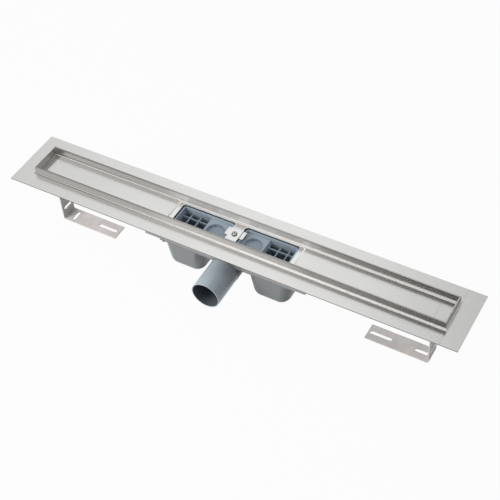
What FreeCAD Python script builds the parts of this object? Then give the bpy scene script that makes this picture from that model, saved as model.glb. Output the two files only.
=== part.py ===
"""Linear shower drain: folded steel tray, sump pan, twin-bowl siphon, outlet and adjustable feet.

Units are millimetres. X runs along the channel, Y across it and Z is up. The origin is the
centre of the flange, on its top face. The outlet points to -Y.
"""
import FreeCAD, Part
import math
import os

V = FreeCAD.Vector

# Driving sizes
SHEET = 1.5              # thickness of the tray, pan and plate
BEND_R = 1.5             # inner radius of every fold in the tray

RIM_LENGTH = 750.0       # over the standing rim
RIM_WIDTH = 58.0
RIM_HEIGHT = 14.5        # above the flange
FLANGE_SIDE = 30.0       # flange beyond the rim, front and back
FLANGE_END = 31.5        # flange beyond the rim, left and right
FLOOR_TAB = 22.0         # floor that belongs to each end piece

WINDOW_END = 108.0       # outer end of each window, from the middle
WINDOW_WIDTH = 45.0
WINDOW_CORNER_R = 6.0
BRIDGE = 20.0            # plate left between the windows
PLATE_MARGIN = 10.0      # plate shown beyond each window
PLATE_LAP = 8.0          # plate tucked under the floor at each end
PLATE_EDGE = 1.0         # plate shown in front of and behind the windows
PLATE_SIDE_LAP = 1.5     # plate tucked under the floor at the sides
CUTOUT_CORNER_R = 3.0    # floor cut-out that shows the plate

PAN_LENGTH = 297.0
PAN_WIDTH = 81.0
PAN_DEPTH = 33.0         # below the flange's top face
PAN_LIP = 8.0
PAN_FOLD_R = 3.0         # outer radius where the walls meet the bottom

PLASTIC = 2.5            # wall of the moulded siphon body
COLLAR_WALL = 1.8        # wall of the collars under the windows
COLLAR_CORNER_R = 5.0
SIPHON_FLANGE = 2.5      # thickness of the siphon's flange
STUD_EDGE = 4.5          # from a stud's axis to the edge of the siphon's flange
BOWL_CENTRE = 79.0       # from the middle to each bowl's centre
BOWL_TOP_X = 79.0
BOWL_TOP_Y = 76.0
BOWL_BOTTOM_X = 62.0
BOWL_BOTTOM_Y = 73.0
BOWL_BOTTOM_Z = -89.0
BOWL_CORNER_R = 15.0
BOWL_FOOT_R = 14.0       # rounding of the bowl's bottom edges
BOWL_BEVEL = 7.0         # inside, along the bowl's bottom edge
WEIR_Z = -48.0           # overflow edge between bowl and duct
WEIR_REACH = 8.0         # half the cut that opens the bowl's wall
DUCT_BOTTOM_Z = -56.0

PIPE_R = 25.0
PIPE_WALL = 1.8
PIPE_Z = -50.5
PIPE_MOUTH_Y = -99.0
DRUM_FRONT_Y = -38.5     # face that the pipe stands against
DRUM_HEAD = 11.0         # depth of the drum's round head, behind that face
DRUM_LEDGE = 0.5         # drum beyond the pipe, on the radius
SPIGOT = 9.0             # length of the siphon's spigot inside the pipe
SPIGOT_WALL = 1.8

GASKET = 1.0
GASKET_END = 6.5         # gasket beyond the openings at its ends
GASKET_SIDE = 7.5        # gasket in front of and behind the openings
SEAL_LEDGE = 1.5         # seal below the insert's lip
SEAL_WALL = 1.0          # standing part of the seal

INSERT_WALL = 1.4
INSERT_GAP = 0.5         # insert inside its collar
INSERT_CORNER_R = 3.0
INSERT_LIP_R = 5.5        # corners of the lip
INSERT_SLACK = 0.5       # more room in front of and behind the insert than at its ends
INSERT_LIP = 1.5         # thickness of the lip
INSERT_LIP_OVER = 1.0    # lip beyond the insert's wall
INSERT_DECK_Z = -9.0
INSERT_DECK_END = 54.8   # the deck's edge, from the middle
INSERT_SKIRT_Z = -33.0
GRID_TOP_Z = -15.0
GRID_INNER_X = 56.5      # start of the grid, from the middle
GRID_BAR = 1.6
GRID_BAR_HEIGHT = 4.0
GRID_BAR_XS = (74.4, 91.1)
GRID_BAR_YS = (-9.5, 9.5)
CUP_X = 35.0
CUP_Y = -2.0
CUP_R = 15.5
CUP_DEPTH = 6.0
DIP_BOTTOM_Z = -76.0
DIP_BOTTOM_X = 36.0
DIP_BOTTOM_Y = 32.0

CLAMP_LENGTH = 33.0
CLAMP_WIDTH = 17.0
CLAMP_OFFSET_Y = 4.0
CLAMP_SHEET = 1.5

FOOT_SHEET = 2.0
FOOT_WIDTH = 30.0
FOOT_BEND_R = 2.0
FOOT_INSET = 25.0        # from the rim's end in to the leg's outer face
FOOT_REACH = 110.0       # foot from the leg's outer face to its tip
FOOT_Z = -114.0          # underside of the foot
LEG_TOP_Z = -14.0
LEG_SLOT = 20.0
LEG_SLOT_WIDTH = 6.5
LEG_SLOT_ZS = (-93.0, -31.0)
FOOT_SLOT_WIDTH = 6.0
TIP_SLOT = 38.0
TIP_SLOT_EDGE_LEFT = 6.0
TIP_SLOT_EDGE_RIGHT = 3.0
CROSS_SLOT = 20.0        # slot across the left foot
CROSS_SLOT_IN = 17.0     # from the leg's outer face
NEAR_SLOT = 22.0         # slot along the right foot
NEAR_SLOT_IN = 18.0

LUG_SHEET = 2.0
LUG_FLANGE = 18.0
LUG_BOTTOM_Z = -45.0

# metric fasteners: shank radius, head radius or across flats, heights
M3_R = 1.5
M3_NUT_FLATS = 5.5
M3_CAP_NUT = 7.0         # closed cap nut
M3_TAIL = 5.5            # stud below the siphon's flange
M5_R = 2.5
M5_HEAD_R = 4.8
M5_HEAD = 2.8
M5_KEY = 3.0
M5_KEY_DEPTH = 1.7
M5_NUT_FLATS = 8.0
M5_NUT = 4.0
M5_LENGTH = 12.0
M6_R = 3.0
M6_HEAD_FLATS = 10.0
M6_HEAD = 4.0
M6_NUT = 5.0
M6_TAIL = 3.0

# clearances
FIT = 1.0                # insert in its seal, collar in the pan
HOLE = 0.25              # screw in its hole, on the radius

# Sizes that follow
RIM = 2 * SHEET
FLANGE_LENGTH = RIM_LENGTH + 2 * FLANGE_END
FLANGE_WIDTH = RIM_WIDTH + 2 * FLANGE_SIDE
RIM_X = RIM_LENGTH / 2
RIM_Y = RIM_WIDTH / 2
SEAM_X = RIM_X + BEND_R
TAB_X = RIM_X - RIM - FLOOR_TAB
FLOOR_Y = RIM_Y - RIM - BEND_R

PLATE_TOP_Z = -SHEET
PLATE_Z = PLATE_TOP_Z - SHEET
WINDOW_X = BRIDGE / 2
WINDOW_LENGTH = WINDOW_END - WINDOW_X
WINDOW_CX = (WINDOW_END + WINDOW_X) / 2
CUTOUT_X = WINDOW_END + PLATE_MARGIN
CUTOUT_Y = WINDOW_WIDTH / 2 + PLATE_EDGE

CLAMP_Z = PLATE_Z - CLAMP_SHEET
LIP_TOP_Z = CLAMP_Z
LIP_Z = LIP_TOP_Z - INSERT_LIP
COLLAR_TOP_Z = LIP_Z - SEAL_LEDGE

COLLAR_X = WINDOW_LENGTH
COLLAR_Y = WINDOW_WIDTH + 2 * FIT
INSERT_X = COLLAR_X - 2 * COLLAR_WALL - 2 * INSERT_GAP
INSERT_Y = COLLAR_Y - 2 * COLLAR_WALL - 2 * INSERT_GAP - INSERT_SLACK
LIP_X = INSERT_X + 2 * INSERT_LIP_OVER
LIP_Y = INSERT_Y + 2 * INSERT_LIP_OVER

GASKET_TOP_Z = -PAN_DEPTH
SIPHON_TOP_Z = GASKET_TOP_Z - GASKET
SIPHON_Z = SIPHON_TOP_Z - SIPHON_FLANGE
DRUM_R = PIPE_R + DRUM_LEDGE
DRUM_BORE_R = DRUM_R - PLASTIC
DRUM_HEAD_Y = DRUM_FRONT_Y + DRUM_HEAD
PIPE_BORE_R = PIPE_R - PIPE_WALL
SPIGOT_BORE_R = PIPE_BORE_R - SPIGOT_WALL

# openings round the collars, the gasket round them and the studs beside it
OPENING_X = COLLAR_X + 2 * FIT
OPENING_Y = COLLAR_Y + FIT
GASKET_LENGTH = 2 * (WINDOW_END + FIT + GASKET_END)
GASKET_WIDTH = OPENING_Y + 2 * GASKET_SIDE
STUD_X = GASKET_LENGTH / 2 + FIT + M3_R
STUD_Y = GASKET_WIDTH / 2 + FIT + M3_R
SIPHON_LENGTH = 2 * (STUD_X + STUD_EDGE)
SIPHON_WIDTH = 2 * (STUD_Y + STUD_EDGE)

FOOT_X = RIM_X - FOOT_INSET
BOLT_Z = max(LEG_SLOT_ZS)


# Helpers
def rounded_rect(length, width, radius, z, cx=0.0, cy=0.0):
    """Closed wire of a rectangle with rounded corners, centred on (cx, cy)."""
    a = length / 2
    b = width / 2
    r = min(radius, a - 0.01, b - 0.01)
    k = r * (1 - math.sqrt(0.5))
    corners = [(a, b, 1, 1), (-a, b, -1, 1), (-a, -b, -1, -1), (a, -b, 1, -1)]
    ends = []
    for x, y, sx, sy in corners:
        along_y = V(cx + x, cy + y - sy * r, z)
        along_x = V(cx + x - sx * r, cy + y, z)
        middle = V(cx + x - sx * k, cy + y - sy * k, z)
        first, last = (along_y, along_x) if sx * sy > 0 else (along_x, along_y)
        ends.append((first, middle, last))
    edges = []
    for i, (first, middle, last) in enumerate(ends):
        edges.append(Part.Arc(first, middle, last).toShape())
        following = ends[(i + 1) % len(ends)][0]
        edges.append(Part.makeLine(last, following))
    return Part.Wire(edges)


def block(length, width, radius, z_low, z_high, cx=0.0, cy=0.0):
    """Upright prism with rounded corners, or square ones at radius 0."""
    if radius == 0:
        return box(cx - length / 2, cx + length / 2, cy - width / 2, cy + width / 2, z_low, z_high)
    face = Part.Face(rounded_rect(length, width, radius, z_low, cx, cy))
    return face.extrude(V(0, 0, z_high - z_low))


def box(x0, x1, y0, y1, z0, z1):
    return Part.makeBox(x1 - x0, y1 - y0, z1 - z0, V(x0, y0, z0))


def cyl_z(radius, z_low, z_high, x=0.0, y=0.0):
    return Part.makeCylinder(radius, z_high - z_low, V(x, y, z_low))


def cyl_y(radius, y_low, y_high, x=0.0, z=0.0):
    return Part.makeCylinder(radius, y_high - y_low, V(x, y_low, z), V(0, 1, 0))


def cyl_x(radius, x_low, x_high, y=0.0, z=0.0):
    return Part.makeCylinder(radius, x_high - x_low, V(x_low, y, z), V(1, 0, 0))


def hexagon(flats, height, turn=0.0):
    """Hexagonal prism on z = 0, its first corner turned from +X by some degrees."""
    r = flats / math.sqrt(3)
    points = []
    for i in range(7):
        angle = math.radians(60 * i + turn)
        points.append(V(r * math.cos(angle), r * math.sin(angle), 0))
    return Part.Face(Part.makePolygon(points)).extrude(V(0, 0, height))


def slot_z(length, width, x, y, z_low, z_high, across=False):
    """Cutter for a slot with round ends, along X, or along Y when across."""
    a, b = (width, length) if across else (length, width)
    return block(a, b, width / 2 - 0.001, z_low, z_high, x, y)


def mirrored(shape):
    """The same shape on the other side of the middle plane x = 0."""
    return shape.mirror(V(0, 0, 0), V(1, 0, 0))


def group(shapes):
    """Several separate solids in one node."""
    return Part.makeCompound(shapes)


def one(shape):
    """The single solid inside a boolean result."""
    clean = shape.removeSplitter()
    return clean.Solids[0] if len(clean.Solids) == 1 else clean


# Folded tray
def arc(cx, cz, radius, start, end):
    """Arc edge in the XZ plane, angles in degrees."""
    middle = (start + end) / 2
    points = []
    for angle in (start, middle, end):
        a = math.radians(angle)
        points.append(V(cx + radius * math.cos(a), 0, cz + radius * math.sin(a)))
    return Part.Arc(*points).toShape()


def line(x0, z0, x1, z1):
    return Part.makeLine(V(x0, 0, z0), V(x1, 0, z1))


def folded_profile(inner, rim, outer):
    """Sheet section in XZ: floor from inner, double rim with its outer face at rim, flange to outer."""
    top = RIM_HEIGHT - SHEET
    rim_in = rim - RIM
    rim_mid = rim - SHEET
    fold = BEND_R + SHEET
    edges = [
        line(inner, 0, rim_in - BEND_R, 0),
        arc(rim_in - BEND_R, BEND_R, BEND_R, -90, 0),
        line(rim_in, BEND_R, rim_in, top),
        arc(rim_mid, top, SHEET, 180, 0),
        line(rim, top, rim, BEND_R),
        arc(rim + BEND_R, BEND_R, BEND_R, 180, 270),
        line(rim + BEND_R, 0, outer, 0),
        line(outer, 0, outer, -SHEET),
        line(outer, -SHEET, rim + BEND_R, -SHEET),
        arc(rim + BEND_R, BEND_R, fold, 270, 180),
        arc(rim_in - BEND_R, BEND_R, fold, 0, -90),
        line(rim_in - BEND_R, -SHEET, inner, -SHEET),
        line(inner, -SHEET, inner, 0),
    ]
    return Part.Face(Part.Wire(Part.__sortEdges__(edges)))


def make_tray():
    half = folded_profile(0.0, RIM_Y, FLANGE_WIDTH / 2)
    half.rotate(V(0, 0, 0), V(0, 0, 1), 90)
    half.translate(V(-SEAM_X, 0, 0))
    back = half.extrude(V(2 * SEAM_X, 0, 0))
    front = back.mirror(V(0, 0, 0), V(0, 1, 0))
    tray = back.fuse(front)
    reach = SEAM_X + 1
    low = -SHEET - 1
    high = RIM_HEIGHT + 1
    side = RIM_Y + BEND_R
    for x0, x1 in ((TAB_X, reach), (-reach, -TAB_X)):
        tray = tray.cut(box(x0, x1, -FLOOR_Y, FLOOR_Y, low, high))
    for x0, x1 in ((RIM_X - RIM, reach), (-reach, -RIM_X + RIM)):
        tray = tray.cut(box(x0, x1, -side, side, low, high))
    tray = tray.cut(block(2 * CUTOUT_X, 2 * CUTOUT_Y, CUTOUT_CORNER_R, low, high))
    return one(tray)


def make_end_piece():
    """Right-hand end: flange, double rim and floor tab, folded as the tray is."""
    low = -SHEET - 1
    high = RIM_HEIGHT + 1
    side = RIM_Y + BEND_R
    section = folded_profile(TAB_X, RIM_X, SEAM_X + BEND_R)
    middle = section.extrude(V(0, 2 * side, 0))
    middle.translate(V(0, -side, 0))
    keep_tab = box(TAB_X - 1, RIM_X - RIM, -FLOOR_Y, FLOOR_Y, low, high)
    keep_rim = box(RIM_X - RIM, SEAM_X, -RIM_Y, RIM_Y, low, high)
    folded = middle.common(keep_tab.fuse(keep_rim))
    flange = box(SEAM_X, FLANGE_LENGTH / 2, -FLANGE_WIDTH / 2, FLANGE_WIDTH / 2, -SHEET, 0)
    piece = folded.fuse(flange)
    for y0, y1 in ((RIM_Y, side), (-side, -RIM_Y)):
        piece = piece.fuse(box(RIM_X - RIM, SEAM_X, y0, y1, -SHEET, 0))
    return one(piece)


# Plate, clamp and pan
def window_centres():
    return (-WINDOW_CX, WINDOW_CX)


def make_window_plate():
    length = 2 * (CUTOUT_X + PLATE_LAP)
    width = 2 * (CUTOUT_Y + PLATE_SIDE_LAP)
    plate = block(length, width, 0, PLATE_Z, PLATE_TOP_Z)
    for x in window_centres():
        plate = plate.cut(block(WINDOW_LENGTH, WINDOW_WIDTH, WINDOW_CORNER_R, PLATE_Z - 1, 0, x))
    return one(plate.cut(cyl_z(M5_R + HOLE, PLATE_Z - 1, 0)))


def make_clamp_plate():
    plate = block(CLAMP_LENGTH, CLAMP_WIDTH, 0, CLAMP_Z, PLATE_Z, 0, CLAMP_OFFSET_Y)
    return one(plate.cut(cyl_z(M5_R + HOLE, CLAMP_Z - 1, PLATE_Z + 1)))


def make_clamp_screw():
    head = cyl_z(M5_HEAD_R, PLATE_TOP_Z, PLATE_TOP_Z + M5_HEAD)
    shank = cyl_z(M5_R, PLATE_TOP_Z - M5_LENGTH, PLATE_TOP_Z)
    socket = hexagon(M5_KEY, M5_HEAD)
    socket.translate(V(0, 0, PLATE_TOP_Z + M5_HEAD - M5_KEY_DEPTH))
    return one(head.fuse(shank).cut(socket))


def make_clamp_nut():
    nut = hexagon(M5_NUT_FLATS, M5_NUT)
    nut.translate(V(0, 0, CLAMP_Z - M5_NUT))
    return one(nut.cut(cyl_z(M5_R, CLAMP_Z - M5_NUT - 1, CLAMP_Z + 1)))


def drum_notch():
    """Room round the head of the outlet drum, open to the front."""
    return cyl_y(DRUM_R + FIT, -PAN_WIDTH, DRUM_HEAD_Y + FIT / 2, 0, PIPE_Z)


def make_pan():
    """Folded and welded tray under the plate, with four studs for the siphon."""
    floor_z = -PAN_DEPTH + SHEET
    outer = block(PAN_LENGTH, PAN_WIDTH, 0, -PAN_DEPTH, -SHEET)
    outer = outer.makeFillet(PAN_FOLD_R, [e for e in outer.Edges if e.BoundBox.ZMax < -PAN_DEPTH + 1e-3])
    inner = block(PAN_LENGTH - 2 * SHEET, PAN_WIDTH - 2 * SHEET, 0, floor_z, SHEET)
    inner = inner.makeFillet(PAN_FOLD_R - SHEET, [e for e in inner.Edges if e.BoundBox.ZMax < floor_z + 1e-3])
    lip = block(PAN_LENGTH + 2 * PAN_LIP, PAN_WIDTH + 2 * PAN_LIP, 0, PLATE_Z, -SHEET)
    pan = outer.fuse(lip).cut(inner)
    for x in window_centres():
        pan = pan.cut(collar_opening(-PAN_DEPTH, floor_z, x))
    pan = pan.cut(drum_notch())
    for x, y in stud_places():
        pan = pan.fuse(cyl_z(M3_R, SIPHON_Z - M3_TAIL, floor_z, x, y))
    return one(pan)


# Siphon
def stud_places():
    return [(sx * STUD_X, sy * STUD_Y) for sx in (-1, 1) for sy in (-1, 1)]


def collar_opening(z_low, z_high, x):
    """Cutter for the room round one collar."""
    return block(OPENING_X, OPENING_Y, 0, z_low - 1, z_high + 1, x)


def tapered(top_x, top_y, z_top, low_x, low_y, z_low, cx):
    """Four-sided taper between two rectangles, centred on (cx, 0)."""
    rings = []
    for length, width, z in ((top_x, top_y, z_top), (low_x, low_y, z_low)):
        a = length / 2
        b = width / 2
        rings.append([V(cx + a, b, z), V(cx - a, b, z), V(cx - a, -b, z), V(cx + a, -b, z)])
    top, low = rings
    faces = [Part.Face(Part.makePolygon(ring + ring[:1])) for ring in rings]
    for i in range(4):
        j = (i + 1) % 4
        faces.append(Part.Face(Part.makePolygon([top[i], top[j], low[j], low[i], top[i]])))
    solid = Part.Solid(Part.Shell(faces))
    if solid.Volume < 0:
        solid.reverse()
    return solid


def upright_edges(solid):
    height = solid.BoundBox.ZLength
    return [e for e in solid.Edges if e.BoundBox.ZLength > height / 2]


def bottom_edges(solid):
    return [e for e in solid.Edges if e.BoundBox.ZMax < solid.BoundBox.ZMin + 1e-3]


def bowl(cx):
    solid = tapered(BOWL_TOP_X, BOWL_TOP_Y, SIPHON_Z, BOWL_BOTTOM_X, BOWL_BOTTOM_Y, BOWL_BOTTOM_Z, cx)
    rounded = solid.makeFillet(BOWL_CORNER_R, upright_edges(solid))
    return rounded.common(solid.makeFillet(BOWL_FOOT_R, bottom_edges(solid)))


def bowl_room(cx):
    """The space inside a bowl, bevelled at 45 degrees along its bottom."""
    low_x = BOWL_BOTTOM_X - 2 * PLASTIC
    low_y = BOWL_BOTTOM_Y - 2 * PLASTIC
    low_z = BOWL_BOTTOM_Z + PLASTIC
    solid = tapered(BOWL_TOP_X - 2 * PLASTIC, BOWL_TOP_Y - 2 * PLASTIC, SIPHON_Z, low_x, low_y, low_z, cx)
    rounded = solid.makeFillet(BOWL_CORNER_R - PLASTIC, upright_edges(solid))
    floor_x = low_x - 2 * BOWL_BEVEL
    floor_y = low_y - 2 * BOWL_BEVEL
    spread = 2 * (SIPHON_Z - low_z)
    return rounded.common(tapered(floor_x + spread, floor_y + spread, SIPHON_Z, floor_x, floor_y, low_z, cx))


def make_siphon():
    """Two bowls under one flange, each with a collar above, joined by a duct behind its weirs."""
    body = block(SIPHON_LENGTH, SIPHON_WIDTH, 0, SIPHON_Z, SIPHON_TOP_Z)
    duct_x = BOWL_CENTRE - BOWL_TOP_X / 2
    duct_y = COLLAR_Y / 2
    inside = []
    for side in (-1, 1):
        collar_x = side * WINDOW_CX
        body = body.fuse(bowl(side * BOWL_CENTRE))
        body = body.fuse(block(COLLAR_X, COLLAR_Y, COLLAR_CORNER_R, SIPHON_Z, COLLAR_TOP_Z, collar_x))
        inside.append(bowl_room(side * BOWL_CENTRE))
        inside.append(block(COLLAR_X - 2 * COLLAR_WALL, COLLAR_Y - 2 * COLLAR_WALL, 0,
                            SIPHON_Z - 1, COLLAR_TOP_Z + 1, collar_x))
        weir = box(duct_x - WEIR_REACH, duct_x + WEIR_REACH, -duct_y + 2 * PLASTIC, duct_y - 2 * PLASTIC,
                   WEIR_Z, SIPHON_Z)
        inside.append(weir if side > 0 else mirrored(weir))
    reach = duct_x + 2 * PLASTIC
    body = body.fuse(box(-reach, reach, -duct_y, duct_y, DUCT_BOTTOM_Z, SIPHON_Z))
    reach = duct_x - PLASTIC
    inside.append(box(-reach, reach, -duct_y + PLASTIC, duct_y - PLASTIC, DUCT_BOTTOM_Z + PLASTIC, SIPHON_Z))
    # outlet chamber: a drum across the duct, its head standing in the pan's notch, then the pipe's spigot
    below = box(-DRUM_R, DRUM_R, -PAN_WIDTH, PAN_WIDTH, PIPE_Z - DRUM_R, SIPHON_Z)
    body = body.fuse(cyl_y(DRUM_R, DRUM_FRONT_Y, duct_y, 0, PIPE_Z).common(below))
    body = body.fuse(cyl_y(DRUM_R, DRUM_FRONT_Y, DRUM_HEAD_Y, 0, PIPE_Z))
    body = body.fuse(cyl_y(PIPE_BORE_R, DRUM_FRONT_Y - SPIGOT, DRUM_FRONT_Y, 0, PIPE_Z))
    room_y = DRUM_FRONT_Y + PLASTIC
    inside.append(cyl_y(DRUM_BORE_R, room_y, DRUM_HEAD_Y - PLASTIC, 0, PIPE_Z))
    inside.append(cyl_y(DRUM_BORE_R, room_y, duct_y - PLASTIC, 0, PIPE_Z).common(below))
    inside.append(cyl_y(SPIGOT_BORE_R, DRUM_FRONT_Y - SPIGOT - 1, room_y, 0, PIPE_Z))
    for x, y in stud_places():
        inside.append(cyl_z(M3_R + HOLE, SIPHON_Z - 1, SIPHON_TOP_Z + 1, x, y))
    for cutter in inside:
        body = body.cut(cutter)
    return one(body)


def make_gasket():
    gasket = block(GASKET_LENGTH, GASKET_WIDTH, 0, SIPHON_TOP_Z, GASKET_TOP_Z)
    for x in window_centres():
        gasket = gasket.cut(collar_opening(SIPHON_TOP_Z, GASKET_TOP_Z, x))
    return one(gasket.cut(drum_notch()))


def make_pipe():
    tube = cyl_y(PIPE_R, PIPE_MOUTH_Y, DRUM_FRONT_Y, 0, PIPE_Z)
    return one(tube.cut(cyl_y(PIPE_BORE_R, PIPE_MOUTH_Y - 1, DRUM_FRONT_Y + 1, 0, PIPE_Z)))


def make_siphon_nuts():
    nuts = []
    for x, y in stud_places():
        nut = hexagon(M3_NUT_FLATS, M3_CAP_NUT)
        nut.translate(V(x, y, SIPHON_Z - M3_CAP_NUT))
        nuts.append(one(nut.cut(cyl_z(M3_R, SIPHON_Z - M3_TAIL, SIPHON_Z + 1, x, y))))
    return group(nuts)


# Seals and inserts, right-hand side
def make_seal():
    """Right-hand seal: a ledge under the insert's lip and a wall round it, up to the plate."""
    outer_x = COLLAR_X + FIT
    outer_y = COLLAR_Y + FIT
    seal = block(outer_x, outer_y, 0, COLLAR_TOP_Z, PLATE_Z, WINDOW_CX)
    room = block(outer_x - 2 * SEAL_WALL, outer_y - 2 * SEAL_WALL, WINDOW_CORNER_R, LIP_Z, 0, WINDOW_CX)
    hole = block(INSERT_X + FIT, INSERT_Y + FIT, 0, COLLAR_TOP_Z - 1, 0, WINDOW_CX)
    y0 = CLAMP_OFFSET_Y - CLAMP_WIDTH / 2 - FIT / 2
    y1 = CLAMP_OFFSET_Y + CLAMP_WIDTH / 2 + FIT / 2
    return one(seal.cut(room).cut(hole).cut(box(0, CLAMP_LENGTH / 2, y0, y1, CLAMP_Z, 0)))


def make_insert():
    """Right-hand insert: lip, walls, deck with grid and round recess, dip tube below the grid."""
    wall = INSERT_WALL
    shell = block(INSERT_X, INSERT_Y, INSERT_CORNER_R, INSERT_SKIRT_Z, LIP_TOP_Z, WINDOW_CX)
    lip = block(LIP_X, LIP_Y, INSERT_LIP_R, LIP_Z, LIP_TOP_Z, WINDOW_CX)
    body = shell.fuse(lip)
    inner_x = INSERT_X - 2 * wall
    inner_y = INSERT_Y - 2 * wall
    start_x = WINDOW_CX - inner_x / 2
    end_x = WINDOW_CX + inner_x / 2
    # tray above the deck, the deeper bay over the grid, then the hollow under the closed half
    body = body.cut(block(inner_x, inner_y, INSERT_CORNER_R - wall / 2, INSERT_DECK_Z, 0, WINDOW_CX))
    bay = Part.makePolygon([V(INSERT_DECK_END, 0, INSERT_DECK_Z), V(GRID_INNER_X, 0, GRID_TOP_Z),
                            V(end_x, 0, GRID_TOP_Z), V(end_x, 0, INSERT_DECK_Z), V(INSERT_DECK_END, 0, INSERT_DECK_Z)])
    bay = Part.Face(bay).extrude(V(0, inner_y, 0))
    bay.translate(V(0, -inner_y / 2, 0))
    body = body.cut(bay)
    shaft_start = GRID_INNER_X - 2 * wall
    hollow_z = INSERT_DECK_Z - wall
    body = body.cut(box(start_x, shaft_start, -inner_y / 2, inner_y / 2, INSERT_SKIRT_Z - 1, hollow_z))
    # dip tube: its shaft runs straight down from the grid and then tapers into the bowl
    shaft_x = end_x + wall - shaft_start
    shaft_cx = (end_x + wall + shaft_start) / 2
    dip = tapered(shaft_x, INSERT_Y, INSERT_SKIRT_Z, DIP_BOTTOM_X, DIP_BOTTOM_Y, DIP_BOTTOM_Z, shaft_cx)
    bore = tapered(shaft_x - 2 * wall, INSERT_Y - 2 * wall, INSERT_SKIRT_Z,
                   DIP_BOTTOM_X - 2 * wall, DIP_BOTTOM_Y - 2 * wall, DIP_BOTTOM_Z, shaft_cx)
    grid_z = GRID_TOP_Z - GRID_BAR_HEIGHT
    shaft = block(shaft_x - 2 * wall, INSERT_Y - 2 * wall, 0, INSERT_SKIRT_Z, grid_z, shaft_cx)
    body = body.fuse(dip).cut(bore).cut(shaft)
    for cell in grid_cells(end_x, inner_y / 2):
        body = body.cut(cell)
    # round recess in a square boss under the deck
    cup_z = INSERT_DECK_Z - CUP_DEPTH
    boss = 2 * (CUP_R + wall)
    body = body.fuse(block(boss, boss, 0, cup_z - wall, INSERT_DECK_Z, CUP_X, CUP_Y))
    return one(body.cut(cyl_z(CUP_R, cup_z, INSERT_DECK_Z + 1, CUP_X, CUP_Y)))


def grid_cells(end_x, end_y):
    """Cutters for the openings left between the grid's bars."""
    half = GRID_BAR / 2
    starts_x = [GRID_INNER_X] + [x + half for x in GRID_BAR_XS]
    ends_x = [x - half for x in GRID_BAR_XS] + [end_x]
    starts_y = [-end_y] + [y + half for y in GRID_BAR_YS]
    ends_y = [y - half for y in GRID_BAR_YS] + [end_y]
    low = GRID_TOP_Z - GRID_BAR_HEIGHT - 1
    cells = []
    for x0, x1 in zip(starts_x, ends_x):
        for y0, y1 in zip(starts_y, ends_y):
            cells.append(box(x0, x1, y0, y1, low, GRID_TOP_Z + 1))
    return cells


# Feet
def l_sheet(x_out, reach, z_low, z_high, sheet, bend, width, down):
    """L-shaped sheet: a leg whose outer face is at x_out and a foot along -X or a flange along +X."""
    if down:
        points = [(x_out, z_high), (x_out, z_low), (x_out - reach, z_low), (x_out - reach, z_low + sheet),
                  (x_out - sheet, z_low + sheet), (x_out - sheet, z_high)]
        outer_xz = (x_out, z_low)
        inner_xz = (x_out - sheet, z_low + sheet)
    else:
        points = [(x_out, z_low), (x_out, z_high), (x_out + reach, z_high), (x_out + reach, z_high - sheet),
                  (x_out + sheet, z_high - sheet), (x_out + sheet, z_low)]
        outer_xz = (x_out, z_high)
        inner_xz = (x_out + sheet, z_high - sheet)
    wire = Part.makePolygon([V(x, -width / 2, z) for x, z in points + points[:1]])
    solid = Part.Face(wire).extrude(V(0, width, 0))
    for (x, z), radius in ((outer_xz, bend + sheet), (inner_xz, bend)):
        fold = []
        for e in solid.Edges:
            b = e.BoundBox
            along_y = b.YLength > width - 1e-3
            if along_y and abs(b.XMin - x) < 1e-3 and abs(b.ZMin - z) < 1e-3:
                fold.append(e)
        solid = solid.makeFillet(radius, fold)
    return solid


def slot_x(length, width, x0, x1, z):
    """Cutter for a slot along Y through an upright sheet."""
    middle = box(x0, x1, -length / 2 + width / 2, length / 2 - width / 2, z - width / 2, z + width / 2)
    for y in (-length / 2 + width / 2, length / 2 - width / 2):
        middle = middle.fuse(cyl_x(width / 2, x0, x1, y, z))
    return middle


def make_foot(left):
    foot = l_sheet(FOOT_X, FOOT_REACH, FOOT_Z, LEG_TOP_Z, FOOT_SHEET, FOOT_BEND_R, FOOT_WIDTH, True)
    for z in LEG_SLOT_ZS:
        foot = foot.cut(slot_x(LEG_SLOT, LEG_SLOT_WIDTH, FOOT_X - FOOT_SHEET - 1, FOOT_X + 1, z))
    low = FOOT_Z - 1
    high = FOOT_Z + FOOT_SHEET + 1
    edge = TIP_SLOT_EDGE_LEFT if left else TIP_SLOT_EDGE_RIGHT
    tip_x = FOOT_X - FOOT_REACH + edge + TIP_SLOT / 2
    foot = foot.cut(slot_z(TIP_SLOT, FOOT_SLOT_WIDTH, tip_x, 0, low, high))
    if left:
        foot = foot.cut(slot_z(CROSS_SLOT, FOOT_SLOT_WIDTH, FOOT_X - CROSS_SLOT_IN, 0, low, high, True))
    else:
        foot = foot.cut(slot_z(NEAR_SLOT, FOOT_SLOT_WIDTH, FOOT_X - NEAR_SLOT_IN, 0, low, high))
    return one(foot)


def make_lug():
    lug = l_sheet(FOOT_X, LUG_FLANGE, LUG_BOTTOM_Z, -SHEET, LUG_SHEET, FOOT_BEND_R, FOOT_WIDTH, False)
    return one(lug.cut(cyl_x(M6_R + HOLE, FOOT_X - 1, FOOT_X + LUG_SHEET + 1, 0, BOLT_Z)))


def turned_to_x(shape, x):
    """A prism made along Z, laid along +X with its base at x and its axis on the bolt."""
    shape.rotate(V(0, 0, 0), V(0, 1, 0), 90)
    shape.translate(V(x, 0, BOLT_Z))
    return shape


def make_bracket_bolt():
    head_x = FOOT_X + LUG_SHEET
    tail_x = FOOT_X - FOOT_SHEET - M6_NUT - M6_TAIL
    head = turned_to_x(hexagon(M6_HEAD_FLATS, M6_HEAD), head_x)
    return one(head.fuse(cyl_x(M6_R, tail_x, head_x, 0, BOLT_Z)))


def make_bracket_nut():
    x0 = FOOT_X - FOOT_SHEET - M6_NUT
    nut = turned_to_x(hexagon(M6_HEAD_FLATS, M6_NUT), x0)
    return one(nut.cut(cyl_x(M6_R, x0 - 1, x0 + M6_NUT + 1, 0, BOLT_Z)))


def pair(shape):
    return group([mirrored(shape), shape])


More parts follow.
